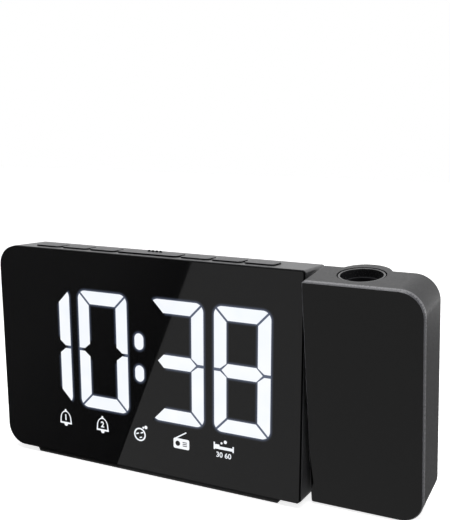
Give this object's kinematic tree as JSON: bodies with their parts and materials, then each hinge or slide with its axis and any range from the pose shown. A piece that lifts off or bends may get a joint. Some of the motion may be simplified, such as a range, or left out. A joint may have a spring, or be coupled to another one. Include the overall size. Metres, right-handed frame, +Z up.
{
  "type": "projection alarm clock",
  "caption": "Mains bedside clock with a wedge body, lit digits behind a dark panel, caps on top and a tilting projector arm with a focusing lens.",
  "frame": {"origin": "on the table, under the middle of the clock body's width and depth, on the foot's underside", "axes": "+Z up, +X towards the projector arm, -Y towards the reader, who sees the digits"},
  "size_m": [0.19, 0.0444, 0.0931],
  "materials": {
    "panel_acrylic": "smoked acrylic, polished",
    "housing_abs": "dark grey ABS, fine moulded grain",
    "cap_abs": "grey ABS, fine moulded grain",
    "arm_gloss": "black ABS, polished",
    "foot_rubber": "dark grey rubber, matte",
    "white_light_box": "white, matte",
    "diffuser_film": "translucent film",
    "green_board": "solder mask, satin",
    "led_package": "moulded",
    "black_package": "moulded, matte",
    "tinned_steel": "tinned, satin",
    "dark_steel": "black oxide",
    "paper_cone": "pressed paper",
    "ferrite": "ground",
    "nickel_cell": "nickel plated",
    "contact_brass": "spring brass",
    "white_insulator": "moulded",
    "cable_grey": "flat cable",
    "bush_acetal": "black acetal",
    "shaft_alloy": "turned",
    "lens_clear": "clear, polished",
    "lamp_red": "clear red epoxy",
    "image_glass": "liquid crystal",
    "ring_abs": "grey ABS, satin",
    "carrier_black": "black, ribbed against stray light"
  },
  "bodies": {
    "clock_body": {"front_panel": "panel_acrylic", "housing": "housing_abs", "rear_cover": "housing_abs", "foot_mat": "foot_rubber", "digit_reflector": "white_light_box", "diffuser_sheet": "diffuser_film", "display_board": "green_board", "display_leds": "led_package", "main_board": "green_board", "board_components": "black_package", "tuner_can": "tinned_steel", "button_board": "green_board", "tact_switches": "black_package", "speaker_basket": "dark_steel", "speaker_cone": "paper_cone", "speaker_magnet": "ferrite", "coin_cell": "nickel_cell", "battery_contacts": "contact_brass", "power_inlet": "black_package", "inlet_pin": "tinned_steel", "usb_shell": "tinned_steel", "usb_tongue": "white_insulator", "aerial_grommet": "foot_rubber", "cover_screws": "dark_steel", "board_screws": "tinned_steel", "ribbon_cable": "cable_grey", "pivot_bush": "bush_acetal", "friction_washer": "tinned_steel"},
    "button_power": {"button_power": "cap_abs"},
    "button_alarm_1": {"button_alarm_1": "cap_abs"},
    "button_alarm_2": {"button_alarm_2": "cap_abs"},
    "snooze_bar": {"snooze_bar": "cap_abs"},
    "button_radio": {"button_radio": "cap_abs"},
    "button_volume": {"button_volume": "cap_abs"},
    "button_projector": {"button_projector": "cap_abs"},
    "battery_cap": {"battery_cap": "housing_abs"},
    "projector_arm": {"arm_front_cover": "arm_gloss", "arm_rear_shell": "housing_abs", "pivot_shaft": "shaft_alloy", "shaft_clip": "dark_steel", "projector_barrel": "carrier_black", "lamp_board": "green_board", "red_led": "lamp_red", "condenser_lens": "lens_clear", "image_panel": "image_glass", "arm_screws": "dark_steel", "projector_lead": "foot_rubber", "lead_plug": "white_insulator"},
    "focus_ring": {"focus_ring": "ring_abs"},
    "lens_carrier": {"lens_carrier": "carrier_black", "objective_lens": "lens_clear"}
  },
  "joints": [
    {"name": "button_power_press", "type": "slide", "parent": "clock_body", "child": "button_power", "axis": [0, 0, -1], "range_m": [0, 0.00045], "stiffness_N_per_m": 2000},
    {"name": "button_alarm_1_press", "type": "slide", "parent": "clock_body", "child": "button_alarm_1", "axis": [0, 0, -1], "range_m": [0, 0.00045], "stiffness_N_per_m": 2000},
    {"name": "button_alarm_2_press", "type": "slide", "parent": "clock_body", "child": "button_alarm_2", "axis": [0, 0, -1], "range_m": [0, 0.00045], "stiffness_N_per_m": 2000},
    {"name": "snooze_bar_press", "type": "slide", "parent": "clock_body", "child": "snooze_bar", "axis": [0, 0, -1], "range_m": [0, 0.00045], "stiffness_N_per_m": 2000},
    {"name": "button_radio_press", "type": "slide", "parent": "clock_body", "child": "button_radio", "axis": [0, 0, -1], "range_m": [0, 0.00045], "stiffness_N_per_m": 2000},
    {"name": "button_volume_press", "type": "slide", "parent": "clock_body", "child": "button_volume", "axis": [0, 0, -1], "range_m": [0, 0.00045], "stiffness_N_per_m": 2000},
    {"name": "button_projector_press", "type": "slide", "parent": "clock_body", "child": "button_projector", "axis": [0, 0, -1], "range_m": [0, 0.00045], "stiffness_N_per_m": 2000},
    {"name": "battery_cap_turn", "type": "hinge", "parent": "clock_body", "child": "battery_cap", "pos_m": [-0.034, 0.00529, 0.06676], "axis": [0, 0.9782, 0.2077], "range_deg": [0, 60]},
    {"name": "arm_tilt", "type": "hinge", "parent": "clock_body", "child": "projector_arm", "pos_m": [0.0736, -0.0074, 0.0465], "axis": [1, 0, 0], "range_deg": [-99, 81]},
    {"name": "focus_turn", "type": "hinge", "parent": "projector_arm", "child": "focus_ring", "pos_m": [0.0911, -0.01183, 0.09106], "axis": [0, -0.1564, 0.9877], "range_deg": [-90, 90]},
    {"name": "lens_focus", "type": "slide", "parent": "projector_arm", "child": "lens_carrier", "axis": [0, -0.1564, 0.9877], "range_m": [-0.001, 0.001]}
  ],
  "couplings": [
    {"joint": "focus_turn", "follows": "lens_focus", "rad_per_m": 1570.8}
  ]
}
